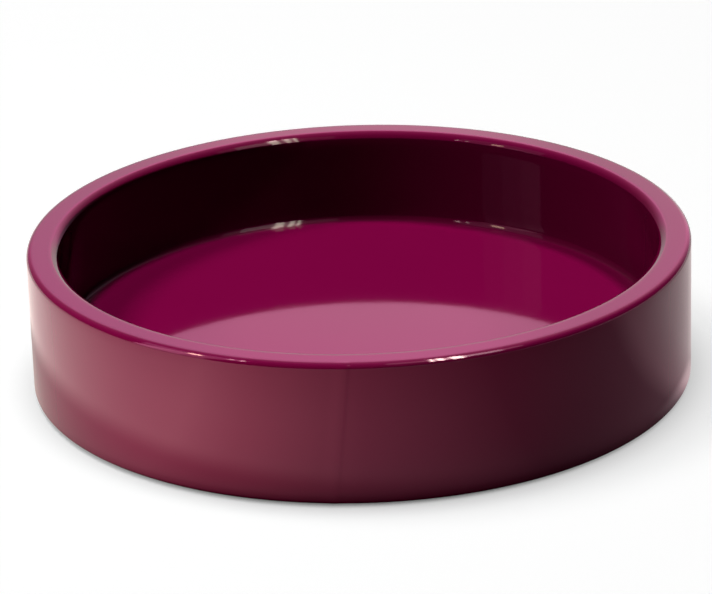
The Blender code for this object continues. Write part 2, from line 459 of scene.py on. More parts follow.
def dust_nibs(nodes, links, vector):
    """Specks of dust caught in the coat: in a few cells of a Voronoi pattern, a round bump at its point."""
    cells = nodes.new("ShaderNodeTexVoronoi")
    cells.inputs["Scale"].default_value = NIB_CELLS
    links.new(vector, cells.inputs["Vector"])
    colour = nodes.new("ShaderNodeSeparateColor")
    links.new(cells.outputs["Color"], colour.inputs["Color"])
    chosen = math_node(nodes, links, "GREATER_THAN", colour.outputs["Red"], 1 - NIB_SHARE)
    bump = nodes.new("ShaderNodeMapRange")
    bump.interpolation_type = "SMOOTHSTEP"
    bump.inputs["From Min"].default_value = NIB_RADIUS * NIB_CELLS
    bump.inputs["From Max"].default_value = 0.0
    links.new(cells.outputs["Distance"], bump.inputs["Value"])
    return math_node(nodes, links, "MULTIPLY", chosen, bump.outputs["Result"])


def lacquer_body(nodes, links, cloud, inside):
    """The lacquer's own colour, clouded; painted shade deepens it on the inside wall, and it is held back
    in the light that bounces from one face of the tray to another."""
    open_face = blend_colours(nodes, links, cloud, LACQUER_COLOUR, LACQUER_DEEP)
    body = nodes.new("ShaderNodeMix")
    body.data_type = "RGBA"
    links.new(inside, body.inputs["Factor"])
    links.new(open_face, body.inputs["A"])
    # The deeper inside colour mixed in here is painted shade.
    body.inputs["B"].default_value = LACQUER_INSIDE_PAINTED_SHADE
    path = nodes.new("ShaderNodeLightPath")
    held_back = math_node(nodes, links, "MULTIPLY", path.outputs["Is Diffuse Ray"], 1 - SELF_LIGHT)
    dimmed = nodes.new("ShaderNodeMix")
    dimmed.data_type = "RGBA"
    links.new(held_back, dimmed.inputs["Factor"])
    links.new(body.outputs["Result"], dimmed.inputs["A"])
    dimmed.inputs["B"].default_value = (0, 0, 0, 1)
    return dimmed.outputs["Result"]


def make_lacquer():
    """Gloss lacquer: a thin clear coat over a clouded colour, with polishing haze, orange peel and nibs."""
    material, nodes, links, shader = new_material("plum_lacquer")
    place = nodes.new("ShaderNodeTexCoord").outputs["Object"]
    # The inside attribute is the share of painted shade: it deepens the colour and turns down the gloss.
    attribute = nodes.new("ShaderNodeAttribute")
    attribute.attribute_name = "inside"
    inside = attribute.outputs["Fac"]
    cloud = noise(nodes, links, place, CLOUD_SCALE, detail=3.0)
    links.new(lacquer_body(nodes, links, cloud, inside), shader.inputs["Base Color"])
    gloss = math_node(nodes, links, "MULTIPLY", inside, GLOSS_INSIDE - GLOSS_OPEN)
    gloss = math_node(nodes, links, "ADD", gloss, GLOSS_OPEN)
    links.new(gloss, shader.inputs["Specular IOR Level"])
    haze = noise(nodes, links, place, HAZE_SCALE, detail=4.0)
    polish = nodes.new("ShaderNodeMapRange")
    polish.inputs["To Min"].default_value = POLISH[0]
    polish.inputs["To Max"].default_value = POLISH[1]
    links.new(haze, polish.inputs["Value"])
    links.new(polish.outputs["Result"], shader.inputs["Roughness"])
    peel = nodes.new("ShaderNodeBump")
    peel.inputs["Distance"].default_value = PEEL_HEIGHT
    links.new(noise(nodes, links, place, PEEL_SCALE, detail=1.0), peel.inputs["Height"])
    nibs = nodes.new("ShaderNodeBump")
    nibs.inputs["Distance"].default_value = NIB_HEIGHT
    links.new(dust_nibs(nodes, links, place), nibs.inputs["Height"])
    links.new(peel.outputs["Normal"], nibs.inputs["Normal"])
    links.new(nibs.outputs["Normal"], shader.inputs["Normal"])
    shader.inputs["IOR"].default_value = LACQUER_IOR
    shader.inputs["Specular Tint"].default_value = GLOSS_TINT
    shader.inputs["Coat Weight"].default_value = CLEAR_WEIGHT
    shader.inputs["Coat Roughness"].default_value = CLEAR_ROUGHNESS
    shader.inputs["Coat IOR"].default_value = LACQUER_IOR
    return material


coat_points, coat_quads, coat_fans, coat_painted_shade = shell_surface()
shell = make_mesh("lacquer_coat", coat_points, coat_quads, coat_fans)
# The inside attribute holds each point's share of painted shade on the inside wall.
painted_shade_layer = shell.data.attributes.new("inside", "FLOAT", "POINT")
painted_shade_layer.data.foreach_set("value", coat_painted_shade.astype(np.float32))
shell.data.materials.append(make_lacquer())
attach(shell, "root")
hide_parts("lacquer_shell")


# Felt underneath
# A disc of dark pressed felt, 1 mm thick, stamped out and glued up under the board in the recess.
# Its open face keeps the sheet's uneven thickness and a nap of loose fibres.
FELT_DARK = (0.020, 0.006, 0.012, 1)
FELT_PALE = (0.060, 0.024, 0.040, 1)
FELT_TANGLE = 260.0
FELT_FIBRE = 1400.0
FELT_TANGLE_SHARE = 0.4
FELT_CONTRAST = (0.5, 0.95)
FELT_ROUGHNESS = 0.95
FELT_GLOSS = 0.2
FELT_SHEEN = (0.60, 0.45, 0.52, 1)
FELT_SHEEN_WEIGHT = 0.25
FELT_SHEEN_ROUGHNESS = 0.5
FELT_BUMP = 0.7
FELT_BUMP_HEIGHT = 0.0004
FELT_EDGE_ROUND = 0.0003
FELT_EDGE_POINTS = 9
FELT_EDGE_WANDER = 0.0002
WANDER_TURNS = (5, 48)
WANDER_PITCH = (1, 2)
FELT_UNEVEN = 0.00009
FELT_LUMP_PITCH = (0.006, 0.030)
LUMP_WAVES = 9
FELT_RINGS = 46
FELT_TURNS = 300
FELT_SEED = 11
NAP_FIBRES = 3200
NAP_LENGTH = (0.0010, 0.0032)
NAP_SWING = 0.35
NAP_RISE = 0.0006
NAP_LEAST_RISE = 0.2
NAP_THICKNESS = 0.00005
NAP_END_SHARE = 0.4
NAP_STEPS = 6
NAP_CORNERS = (90, 210, 330)
NAP_SEED = 12


def make_felt():
    """Pressed felt: fibre tangles at two scales, pale fibres among dark ones and a soft sheen."""
    material, nodes, links, shader = new_material("pressed_felt")
    place = nodes.new("ShaderNodeTexCoord").outputs["Object"]
    tangle = noise(nodes, links, place, FELT_TANGLE, detail=4.0, roughness=0.6)
    fibres = noise(nodes, links, place, FELT_FIBRE, detail=8.0, roughness=0.75)
    depth = math_node(nodes, links, "MULTIPLY_ADD", tangle, FELT_TANGLE_SHARE, fibres)
    contrast = nodes.new("ShaderNodeMapRange")
    contrast.inputs["From Min"].default_value = FELT_CONTRAST[0]
    contrast.inputs["From Max"].default_value = FELT_CONTRAST[1]
    links.new(depth, contrast.inputs["Value"])
    colour = blend_colours(nodes, links, contrast.outputs["Result"], FELT_DARK, FELT_PALE)
    links.new(colour, shader.inputs["Base Color"])
    shader.inputs["Roughness"].default_value = FELT_ROUGHNESS
    shader.inputs["Specular IOR Level"].default_value = FELT_GLOSS
    shader.inputs["Sheen Weight"].default_value = FELT_SHEEN_WEIGHT
    shader.inputs["Sheen Roughness"].default_value = FELT_SHEEN_ROUGHNESS
    shader.inputs["Sheen Tint"].default_value = FELT_SHEEN
    bump = nodes.new("ShaderNodeBump")
    bump.inputs["Strength"].default_value = FELT_BUMP
    bump.inputs["Distance"].default_value = FELT_BUMP_HEIGHT
    links.new(depth, bump.inputs["Height"])
    links.new(bump.outputs["Normal"], shader.inputs["Normal"])
    return material


def lumps(x, y, seed, pitch):
    """Uneven thickness from 0 to 1: the mean of cosine waves that cross the face in seeded directions."""
    draw = np.random.default_rng(seed)
    total = np.zeros(np.broadcast(x, y).shape)
    for _ in range(LUMP_WAVES):
        heading = draw.uniform(0, 2 * np.pi)
        rise = 2 * np.pi / draw.uniform(*pitch)
        along = x * np.cos(heading) + y * np.sin(heading)
        total += np.cos(rise * along + draw.uniform(0, 2 * np.pi))
    return 0.5 + total / (2 * LUMP_WAVES)


def felt_round(name, node, rings, turns, wander, uneven, pitch, seed):
    """A stamped round of felt in a node's box.

    Its section runs from the middle of the glued face straight out, round the cut edge in a half
    ellipse, and back along the open face. The radius is the section's less a wave in the turn that
    grows from the middle to the edge, and the open face is thinned by the lumps.
    """
    low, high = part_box(node)
    middle = (low + high) / 2
    reach = (high.x - low.x) / 2
    edge = reach - FELT_EDGE_ROUND
    half_thick = (high.z - low.z) / 2
    pieces = [
        run_points((0, high.z), (edge, high.z), rings),
        arc_points((edge, middle.z), (FELT_EDGE_ROUND, half_thick), 90, -90, FELT_EDGE_POINTS),
        run_points((edge, low.z), (0, low.z), rings),
    ]
    section = np.concatenate(pieces)
    turn = np.linspace(0, 2 * np.pi, turns, endpoint=False)[None, :]
    share = section[:, :1] / reach
    ragged = 0.5 + 0.5 * wave(turn, 0.0, seed, WANDER_TURNS, WANDER_PITCH)
    radius = section[:, :1] - wander * share**4 * ragged
    x = radius * np.cos(turn)
    y = radius * np.sin(turn)
    open_side = np.clip((middle.z - section[:, 1:]) / half_thick, 0, 1)
    z = section[:, 1:] + uneven * open_side * lumps(x, y, seed, pitch)
    grid = np.stack([x + middle.x, y + middle.y, z], 2)
    rows = len(section)
    poles = [[middle.x, middle.y, high.z], [middle.x, middle.y, grid[-1, :, 2].mean()]]
    points = np.concatenate([grid.reshape(-1, 3), poles])
    glued_pole = rows * turns
    open_pole = glued_pole + 1
    glued_fan = pole_fan(glued_pole, 0, turns)
    open_fan = turned_over(pole_fan(open_pole, (rows - 1) * turns, turns))
    fans = np.concatenate([glued_fan, open_fan])
    piece = make_mesh(name, points, turned_over(ring_quads(rows, turns)), fans)
    piece.data.materials.append(felt)
    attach(piece, "root")
    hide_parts(node)
    return piece


def nap_fibres(name, node, count, seed):
    """Loose fibres on a felt round's open face, all as one array.

    A fibre is a three-sided tube along a low arch: it goes its length in a seeded heading, swings to
    one side as a sine of its share of the way, and stands out of the face as a sine too. It thins to
    both ends, where a triangle closes it.
    """
    low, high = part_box(node)
    draw = np.random.default_rng(seed)
    reach = (high.x - low.x) / 2 - NAP_LENGTH[1]
    root_turn = draw.uniform(0, 2 * np.pi, (count, 1))
    root_radius = reach * np.sqrt(draw.uniform(0, 1, (count, 1)))
    heading = draw.uniform(0, 2 * np.pi, (count, 1))
    length = draw.uniform(*NAP_LENGTH, (count, 1))
    swing = draw.uniform(-NAP_SWING, NAP_SWING, (count, 1))
    rise = NAP_RISE * draw.uniform(NAP_LEAST_RISE, 1, (count, 1))
    share = np.linspace(0, 1, NAP_STEPS)[None, :]
    arch = np.sin(np.pi * share)
    ahead_x = share * np.cos(heading) - swing * arch * np.sin(heading)
    ahead_y = share * np.sin(heading) + swing * arch * np.cos(heading)
    x = root_radius * np.cos(root_turn) + length * ahead_x
    y = root_radius * np.sin(root_turn) + length * ahead_y
    z = low.z + FELT_UNEVEN - (rise + FELT_UNEVEN) * arch
    thick = NAP_THICKNESS * (NAP_END_SHARE + (1 - NAP_END_SHARE) * arch)
    corner_turn = np.radians(NAP_CORNERS)
    aside = thick[:, :, None] * np.cos(corner_turn)
    tall = thick[:, :, None] * np.sin(corner_turn)
    ring_x = x[:, :, None] - aside * np.sin(heading)[:, :, None]
    ring_y = y[:, :, None] + aside * np.cos(heading)[:, :, None]
    points = np.stack([ring_x, ring_y, z[:, :, None] + tall], 3).reshape(-1, 3)
    sides = len(NAP_CORNERS)
    corner = np.arange(sides)
    after = (corner + 1) % sides
    fibre = np.arange(count)[:, None, None] * NAP_STEPS
    start = (fibre + np.arange(NAP_STEPS - 1)[None, :, None]) * sides
    near = start + corner
    next_near = start + after
    quads = np.stack([near, next_near, next_near + sides, near + sides], 3).reshape(-1, 4)
    first = np.arange(count)[:, None] * NAP_STEPS * sides
    last = first + (NAP_STEPS - 1) * sides
    ends = np.concatenate([first + corner[::-1], last + corner])
    piece = make_mesh(name, points, quads, ends)
    piece.data.materials.append(felt)
    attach(piece, "root")
    return piece


felt = make_felt()
felt_disc = felt_round(
    "felt_lining",
    "underside_felt",
    rings=FELT_RINGS,
    turns=FELT_TURNS,
    wander=FELT_EDGE_WANDER,
    uneven=FELT_UNEVEN,
    pitch=FELT_LUMP_PITCH,
    seed=FELT_SEED,
)
felt_nap = nap_fibres("felt_nap", "underside_felt", NAP_FIBRES, NAP_SEED)


# Foot pads
# Four dots punched from the same felt, 6.5 mm across, are glued under the hoop so that it doesn't
# scratch the table. Their cut edges are a little ragged.
PAD_COUNT = 4
PAD_RINGS = 8
PAD_TURNS = 72
PAD_EDGE_WANDER = 0.00012
PAD_UNEVEN = 0.00004
PAD_LUMP_PITCH = (0.0010, 0.0040)
PAD_SEED = 20

for count in range(1, PAD_COUNT + 1):
    pad = felt_round(
        f"felt_foot_{count}",
        f"foot_pad_{count}",
        rings=PAD_RINGS,
        turns=PAD_TURNS,
        wander=PAD_EDGE_WANDER,
        uneven=PAD_UNEVEN,
        pitch=PAD_LUMP_PITCH,
        seed=PAD_SEED + count,
    )


# Stage
# A plain white floor, which keeps a soft shadow and a narrow dark line of contact round the foot, and
# an even white surround. Only the camera, gloss and glass see them white: to the lamps' light the floor
# is a plain grey, and the surround itself lights almost nothing.
FLOOR_SIZE = 6.0
CONTACT_REACH = 0.012
CONTACT_SAMPLES = 8
CONTACT_EASE = 0.45
FLOOR_GLOW = 0.80
FLOOR_LIT = (0.5, 0.5, 0.5, 1)
FLOOR_UNSEEN = (0.6, 0.6, 0.6, 1)
SURROUND_WHITE = (1, 1, 1, 1)
SURROUND_GLOW = 1.0
SURROUND_LIGHT = 0.01


def card(name, points):
    """A flat sheet from its corners, for the stage."""
    mesh = bpy.data.meshes.new(name)
    mesh.from_pydata(points, [], [list(range(len(points)))])
    sheet = bpy.data.objects.new(name, mesh)
    bpy.context.scene.collection.objects.link(sheet)
    return sheet


def square(reach, height):
    """The corners of a level square round the origin."""
    return [(x * reach, y * reach, height) for x, y in ((-1, -1), (1, -1), (1, 1), (-1, 1))]


def bare_material(name):
    """A material with nothing in it but its output, for the stage's own shaders."""
    material = bpy.data.materials.new(name)
    material.use_nodes = True
    nodes = material.node_tree.nodes
    nodes.clear()
    out = nodes.new("ShaderNodeOutputMaterial")
    return material, nodes, material.node_tree.links, out.inputs["Surface"]


def seen_or_mirrored(nodes, links):
    """1 on rays from the camera, from gloss and through glass, 0 on the rays that carry light."""
    path = nodes.new("ShaderNodeLightPath").outputs
    seen = math_node(nodes, links, "MAXIMUM", path["Is Camera Ray"], path["Is Glossy Ray"])
    return math_node(nodes, links, "MAXIMUM", seen, path["Is Transmission Ray"])


def choose_shader(nodes, links, factor, low, high):
    """Mixes two shaders by a factor socket and gives the mixed shader's socket."""
    mix = nodes.new("ShaderNodeMixShader")
    links.new(factor, mix.inputs[0])
    links.new(low, mix.inputs[1])
    links.new(high, mix.inputs[2])
    return mix.outputs[0]


def make_white_floor():
    """Glow, less near the tray, and a grey that takes its shadow. The light it throws back is dimmer."""
    material, nodes, links, surface = bare_material("white_floor")
    # The glow is dimmed by ambient occlusion near the tray: a painted contact shadow.
    nearby = nodes.new("ShaderNodeAmbientOcclusion")
    nearby.inputs["Distance"].default_value = CONTACT_REACH
    nearby.samples = CONTACT_SAMPLES
    open_share = math_node(nodes, links, "POWER", nearby.outputs["AO"], CONTACT_EASE)
    glow = nodes.new("ShaderNodeEmission")
    links.new(math_node(nodes, links, "MULTIPLY", open_share, FLOOR_GLOW), glow.inputs["Strength"])
    lit = nodes.new("ShaderNodeBsdfDiffuse")
    lit.inputs["Color"].default_value = FLOOR_LIT
    both = nodes.new("ShaderNodeAddShader")
    links.new(glow.outputs[0], both.inputs[0])
    links.new(lit.outputs[0], both.inputs[1])
    unseen = nodes.new("ShaderNodeBsdfDiffuse")
    unseen.inputs["Color"].default_value = FLOOR_UNSEEN
    seen = seen_or_mirrored(nodes, links)
    links.new(choose_shader(nodes, links, seen, unseen.outputs[0], both.outputs[0]), surface)
    return material


def make_surround():
    """White where it is seen or mirrored, and next to no light otherwise."""
    world = bpy.data.worlds.new("studio")
    world.use_nodes = True
    nodes = world.node_tree.nodes
    links = world.node_tree.links
    nodes.clear()
    white = nodes.new("ShaderNodeBackground")
    white.inputs["Color"].default_value = SURROUND_WHITE
    white.inputs["Strength"].default_value = SURROUND_GLOW
    faint = nodes.new("ShaderNodeBackground")
    faint.inputs["Strength"].default_value = SURROUND_LIGHT
    seen = seen_or_mirrored(nodes, links)
    out = nodes.new("ShaderNodeOutputWorld")
    links.new(choose_shader(nodes, links, seen, faint.outputs[0], white.outputs[0]), out.inputs["Surface"])
    return world


floor = card("floor", square(FLOOR_SIZE / 2, 0))
floor.data.materials.append(make_white_floor())
bpy.context.scene.world = make_surround()


# Dome in the gloss
# What the lacquer mirrors of the room: pale behind the tray near the horizon, pink above that, and
# dark overhead and in front. Only mirror rays see it, so it lights nothing.
DOME = 3.5
DOME_RINGS = 24
DOME_TURNS = 72
DOME_STOPS = [
    (-1.00, (0.04, 0.04, 0.04)),
    (-0.37, (0.10, 0.09, 0.09)),
    (-0.07, (0.22, 0.16, 0.19)),
    (0.31, (0.48, 0.32, 0.40)),
    (0.64, (0.78, 0.45, 0.60)),
    (0.80, (1.10, 0.55, 0.80)),
    (0.91, (1.90, 0.76, 1.28)),
    (0.94, (1.35, 0.92, 1.10)),
    (0.97, (1.05, 1.00, 1.02)),
]
SIDE_STOPS = [
    (-1.00, (0.10, 0.10, 0.10)),
    (-0.40, (0.30, 0.35, 0.32)),
    (-0.08, (0.68, 0.84, 0.80)),
    (-0.04, (0.95, 0.93, 0.93)),
    (0.04, (1.00, 1.00, 1.00)),
    (0.08, (0.70, 0.94, 0.82)),
    (0.30, (1.00, 1.10, 1.00)),
    (0.50, (0.70, 0.70, 0.70)),
    (0.75, (0.08, 0.08, 0.08)),
]


def only_in_gloss(item):
    """Leaves an object to be seen by mirror rays alone."""
    item.visible_camera = False
    item.visible_diffuse = False
    item.visible_shadow = False
    item.visible_transmission = False
    item.visible_volume_scatter = False


def share_of(nodes, links, value, reach):
    """Turns a value that goes from -reach to reach into a share from 0 to 1."""
    share = math_node(nodes, links, "MULTIPLY", value, 0.5 / reach)
    return math_node(nodes, links, "ADD", share, 0.5)


def colour_ramp(nodes, links, share, stops):
    """A colour that goes straight from one (share, colour) stop to the next."""
    ramp = nodes.new("ShaderNodeValToRGB")
    ramp.color_ramp.interpolation = "LINEAR"
    elements = ramp.color_ramp.elements
    for index, (spot, shade) in enumerate(stops):
        element = elements[index] if index < 2 else elements.new(spot)
        element.position = spot
        element.color = (*shade, 1)
    links.new(share, ramp.inputs["Fac"])
    return ramp.outputs["Color"]


def dome_surface():
    """The upper half of a sphere: rings by elevation, columns by azimuth, the foremost at its ends."""
    rise = np.radians(np.linspace(0, 90, DOME_RINGS))[:, None]
    swing = np.radians(np.linspace(-180, 180, DOME_TURNS + 1)[:-1])[None, :]
    x = DOME * np.sin(swing) * np.cos(rise)
    y = -DOME * np.cos(swing) * np.cos(rise)
    z = DOME * np.sin(rise) + 0 * swing
    return np.stack([x, y, z], 2).reshape(-1, 3), ring_quads(DOME_RINGS, DOME_TURNS)


def make_dome_glow():
    """A glow that is the product of one colour by depth, front to back, and one by side, left to right."""
    material, nodes, links, surface = bare_material("dome_in_gloss")
    place = nodes.new("ShaderNodeTexCoord")
    split = nodes.new("ShaderNodeSeparateXYZ")
    links.new(place.outputs["Object"], split.inputs["Vector"])
    ahead = share_of(nodes, links, split.outputs["Y"], DOME)
    across = share_of(nodes, links, split.outputs["X"], DOME)
    tinted = nodes.new("ShaderNodeMix")
    tinted.data_type = "RGBA"
    tinted.blend_type = "MULTIPLY"
    tinted.inputs["Factor"].default_value = 1.0
    by_depth = [((y + 1) / 2, shade) for y, shade in DOME_STOPS]
    by_side = [((x + 1) / 2, shade) for x, shade in SIDE_STOPS]
    links.new(colour_ramp(nodes, links, ahead, by_depth), tinted.inputs["A"])
    links.new(colour_ramp(nodes, links, across, by_side), tinted.inputs["B"])
    glow = nodes.new("ShaderNodeEmission")
    links.new(tinted.outputs["Result"], glow.inputs["Color"])
    links.new(glow.outputs[0], surface)
    return material


dome_points, dome_quads = dome_surface()
dome = make_mesh("dome_in_gloss", dome_points, dome_quads)
dome.data.materials.append(make_dome_glow())
only_in_gloss(dome)


# Window in the gloss
# The photograph's window stands to the left and shows as a soft upright patch on the inside wall.
# It is three panes that weaken towards the front, each seen by mirror rays alone.
WINDOW = np.array([4.2, 2.2, 2.9])
WINDOW_PANES = [(-79, -70, 1.0), (-70, -61, 0.75), (-61, -52, 0.45)]
WINDOW_HEIGHTS = (4, 44)
WINDOW_DISTANCE = 3.0


def make_glow(name, shade):
    """One even glow."""
    material, nodes, links, surface = bare_material(name)
    glow = nodes.new("ShaderNodeEmission")
    glow.inputs["Color"].default_value = (*shade, 1)
    links.new(glow.outputs[0], surface)
    return material


def towards(azimuth, elevation, distance):
    """A place at an azimuth from the camera's side, positive to the right, and an elevation."""
    swing, rise = np.radians([azimuth, elevation])
    way = Vector((np.sin(swing) * np.cos(rise), -np.cos(swing) * np.cos(rise), np.sin(rise)))
    return way * distance


for count, (left, right, level) in enumerate(WINDOW_PANES, start=1):
    low, high = WINDOW_HEIGHTS
    corners = [(left, low), (right, low), (right, high), (left, high)]
    places = [tuple(towards(azimuth, elevation, WINDOW_DISTANCE)) for azimuth, elevation in corners]
    pane = card(f"window_pane_{count}", places)
    pane.data.materials.append(make_glow(f"window_pane_{count}", (level * WINDOW).tolist()))
    only_in_gloss(pane)


# Edge lights in the gloss
# The rounded edges mirror the studio's lamps as bright strips. Each strip here stands just where the
# edges at one turn about the tray mirror it towards the photograph's viewpoint.
VIEW_RISE = np.radians(22.12)
STRIP_ROWS = 9
STRIP_DISTANCE = 2.8
GLOW_DISTANCE = 2.9
WASH_DISTANCE = 3.0
SPILL_DISTANCE = 3.2
WARM = (34.0, 38.0, 28.0)
AMBER = (26.0, 21.0, 14.0)
PALE_AMBER = (20.0, 16.0, 15.0)
DIM_AMBER = (13.0, 11.0, 10.0)
RIGHT_GLOW = (7.0, 6.5, 6.0)
RIGHT_WASH = (4.8, 4.8, 4.4)
RIGHT_SPILL = (1.4, 1.0, 1.1)
LEFT_SPILL = (1.5, 0.8, 1.2)

# Each light's turn and width round the tray and the tilts of the edge that mirrors it, in degrees.
EDGE_LIGHTS = [
    ("right_strip_1", 15.9, 1.9, (34, 58), WARM, STRIP_DISTANCE),
    ("right_strip_2", 13.2, 1.1, (34, 58), WARM, STRIP_DISTANCE),
    ("right_strip_3", 11.7, 0.6, (34, 58), WARM, STRIP_DISTANCE),
    ("right_glow", 14.3, 6.4, (38, 55), RIGHT_GLOW, GLOW_DISTANCE),
    ("right_wash", 18.0, 12.0, (38, 54), RIGHT_WASH, WASH_DISTANCE),
    ("right_spill", 16.0, 24.0, (39, 52), RIGHT_SPILL, SPILL_DISTANCE),
    ("left_strip_1", -29.0, 2.6, (44, 53), AMBER, STRIP_DISTANCE),
    ("left_strip_2", -22.3, 0.8, (44, 52), DIM_AMBER, STRIP_DISTANCE),
    ("left_strip_3", -20.3, 0.9, (44, 52), PALE_AMBER, STRIP_DISTANCE),
    ("left_spill", -30.0, 19.0, (38, 54), LEFT_SPILL, SPILL_DISTANCE),
]


def edge_light(name, turn, width, tilts, shade, distance):
    """A gloss strip placed where edges that face one way mirror it towards the photograph's viewpoint.

    For an edge normal n and the direction v to the viewpoint, the strip runs along 2 (n.v) n - v while
    the normal tilts from upright to level at one turn about the tray.
    """
    view = np.array([0, -np.cos(VIEW_RISE), np.sin(VIEW_RISE)])
    tilt = np.radians(np.linspace(*tilts, STRIP_ROWS))[:, None]
    swing = np.radians([turn - width / 2, turn + width / 2])[None, :]
    level = np.sin(tilt)
    normal = np.stack([np.sin(swing) * level, -np.cos(swing) * level, np.cos(tilt) + 0 * swing], 2)
    ray = 2 * (normal @ view)[:, :, None] * normal - view
    quads = np.arange(STRIP_ROWS - 1)[:, None] * 2 + np.array([[0, 1, 3, 2]])
    strip = make_mesh(name, (ray * distance).reshape(-1, 3), quads)
    only_in_gloss(strip)
    strip.data.materials.append(make_glow(name, shade))
    return strip


for name, turn, width, tilts, shade, distance in EDGE_LIGHTS:
    edge_light(name, turn, width, tilts, shade, distance)


# Table in the gloss
# What the outside wall mirrors of the table, with its light and the tray's shadow on it painted in:
# bright to the left, dark to the right, dim close to the foot and dark under it. It is a card just over
# the floor that the camera doesn't see, and it throws a little light up the wall.
TABLE_REACH = 0.6
TABLE_HEIGHT = 0.0004
TABLE_STOPS = [
    (-180, (0.92, 0.82, 0.80)),
    (-98, (1.42, 1.22, 1.14)),
    (-60, (1.95, 1.55, 1.40)),
    (-42, (2.45, 1.78, 1.60)),
    (-28, (1.85, 1.25, 1.15)),
    (0, (0.82, 0.58, 0.58)),
    (34, (0.21, 0.18, 0.18)),
    (70, (0.22, 0.18, 0.19)),
    (78, (0.54, 0.40, 0.42)),
    (94, (0.68, 0.58, 0.58)),
    (180, (0.92, 0.82, 0.80)),
]
MIDDLE = (0, 0)
SHADE_PLACE = (-0.014, -0.008)
SHADE_REACH = (0.128, 0.148)
SHADE_LEVELS = (0.45, 1.0)
FAR_REACH = (0.19, 0.26)
FAR_LEVELS = (1.0, 0.75)
UNDER_PLACE = (0.0, -0.012)
UNDER_REACH = (0.113, 0.126)
UNDER_LEVELS = (0.0, 1.0)
RING_REACH = (0.128, 0.1335)
RING_LEVELS = (1.2, 0.0)
RING_SIDES = ((62, 70), (90, 80))


def ease_from(nodes, links, place, centre, reach, levels):
    """Goes smoothly from one level to another between two distances from a place on the table."""
    length = nodes.new("ShaderNodeVectorMath")
    length.operation = "DISTANCE"
    links.new(place, length.inputs[0])
    length.inputs[1].default_value = (*centre, 0)
    near = nodes.new("ShaderNodeMapRange")
    near.interpolation_type = "SMOOTHSTEP"
    near.inputs["From Min"].default_value = reach[0]
    near.inputs["From Max"].default_value = reach[1]
    near.inputs["To Min"].default_value = levels[0]
    near.inputs["To Max"].default_value = levels[1]
    links.new(length.outputs["Value"], near.inputs["Value"])
    return near.outputs["Result"]


def make_table_glow():
    """A glow on the upper side alone: its colour goes by azimuth, its strength by the distances from the
    foot, with a brighter ring close to the foot on the right."""
    material, nodes, links, surface = bare_material("table_in_gloss")
    place = nodes.new("ShaderNodeTexCoord").outputs["Object"]
    split = nodes.new("ShaderNodeSeparateXYZ")
    links.new(place, split.inputs["Vector"])
    front = math_node(nodes, links, "MULTIPLY", split.outputs["Y"], -1.0)
    azimuth = math_node(nodes, links, "ARCTAN2", split.outputs["X"], front)
    share = share_of(nodes, links, azimuth, np.pi)
    by_azimuth = [(degrees / 360 + 0.5, shade) for degrees, shade in TABLE_STOPS]
    # Painted shadow: the tray's own shadow dims the glow near the foot and puts it out under the tray.
    shaded = ease_from(nodes, links, place, SHADE_PLACE, SHADE_REACH, SHADE_LEVELS)
    far = ease_from(nodes, links, place, MIDDLE, FAR_REACH, FAR_LEVELS)
    clear_of_tray = ease_from(nodes, links, place, UNDER_PLACE, UNDER_REACH, UNDER_LEVELS)
    strength = math_node(nodes, links, "MULTIPLY", shaded, far)
    strength = math_node(nodes, links, "MULTIPLY", strength, clear_of_tray)
    # Painted light: a brighter ring close to the foot on the right.
    ring = ease_from(nodes, links, place, MIDDLE, RING_REACH, RING_LEVELS)
    for start, end in RING_SIDES:
        side = nodes.new("ShaderNodeMapRange")
        side.inputs["From Min"].default_value = start / 360 + 0.5
        side.inputs["From Max"].default_value = end / 360 + 0.5
        links.new(share, side.inputs["Value"])
        ring = math_node(nodes, links, "MULTIPLY", ring, side.outputs["Result"])
    ring = math_node(nodes, links, "ADD", ring, 1.0)
    strength = math_node(nodes, links, "MULTIPLY", strength, ring)
    facing = nodes.new("ShaderNodeNewGeometry")
    up_side = math_node(nodes, links, "SUBTRACT", 1.0, facing.outputs["Backfacing"])
    strength = math_node(nodes, links, "MULTIPLY", strength, up_side)
    glow = nodes.new("ShaderNodeEmission")
    links.new(colour_ramp(nodes, links, share, by_azimuth), glow.inputs["Color"])
    links.new(strength, glow.inputs["Strength"])
    links.new(glow.outputs[0], surface)
    return material


table = card("table_in_gloss", square(TABLE_REACH, TABLE_HEIGHT))
table.data.materials.append(make_table_glow())
only_in_gloss(table)
table.visible_diffuse = True


# Lamps
# Two soft lamps light the tray, one high behind on the right and one on the left. The table has its
# own lamp behind on the left, so that the tray's soft shadow falls to the right. None shows in gloss.
LAMP_DISTANCE = 1.5
LAMP_AIM = (0, 0, 0.03)
LAMP_WHITE = (1, 1, 1)
TOP_LAMP = (115, 74.7)
TOP_SIZE = (0.18, 0.18)
TOP_POWER = 15.0
LEFT_LAMP = (-92, 54)
LEFT_SIZE = (0.38, 0.38)
LEFT_POWER = 14.5
LEFT_COLOUR = (1, 0.97, 0.94)
TABLE_LAMP = (-100, 72)
TABLE_LAMP_SIZE = (0.6, 0.6)
TABLE_LAMP_POWER = 12.0


def soft_lamp(name, direction, size, power, colour):
    """A rectangular lamp that faces the tray from an azimuth and elevation."""
    data = bpy.data.lights.new(name, "AREA")
    data.shape = "RECTANGLE"
    data.size, data.size_y = size
    data.energy = power
    data.color = colour
    place = towards(*direction, LAMP_DISTANCE)
    lamp = bpy.data.objects.new(name, data)
    lamp.location = place
    lamp.rotation_euler = (Vector(LAMP_AIM) - place).to_track_quat("-Z", "Y").to_euler()
    lamp.visible_camera = False
    lamp.visible_glossy = False
    bpy.context.scene.collection.objects.link(lamp)
    return lamp


def all_but(title, item):
    """A collection for light linking that leaves out one object and takes in all others."""
    group = bpy.data.collections.new(title)
    group.objects.link(item)
    group.collection_objects[0].light_linking.link_state = "EXCLUDE"
    return group


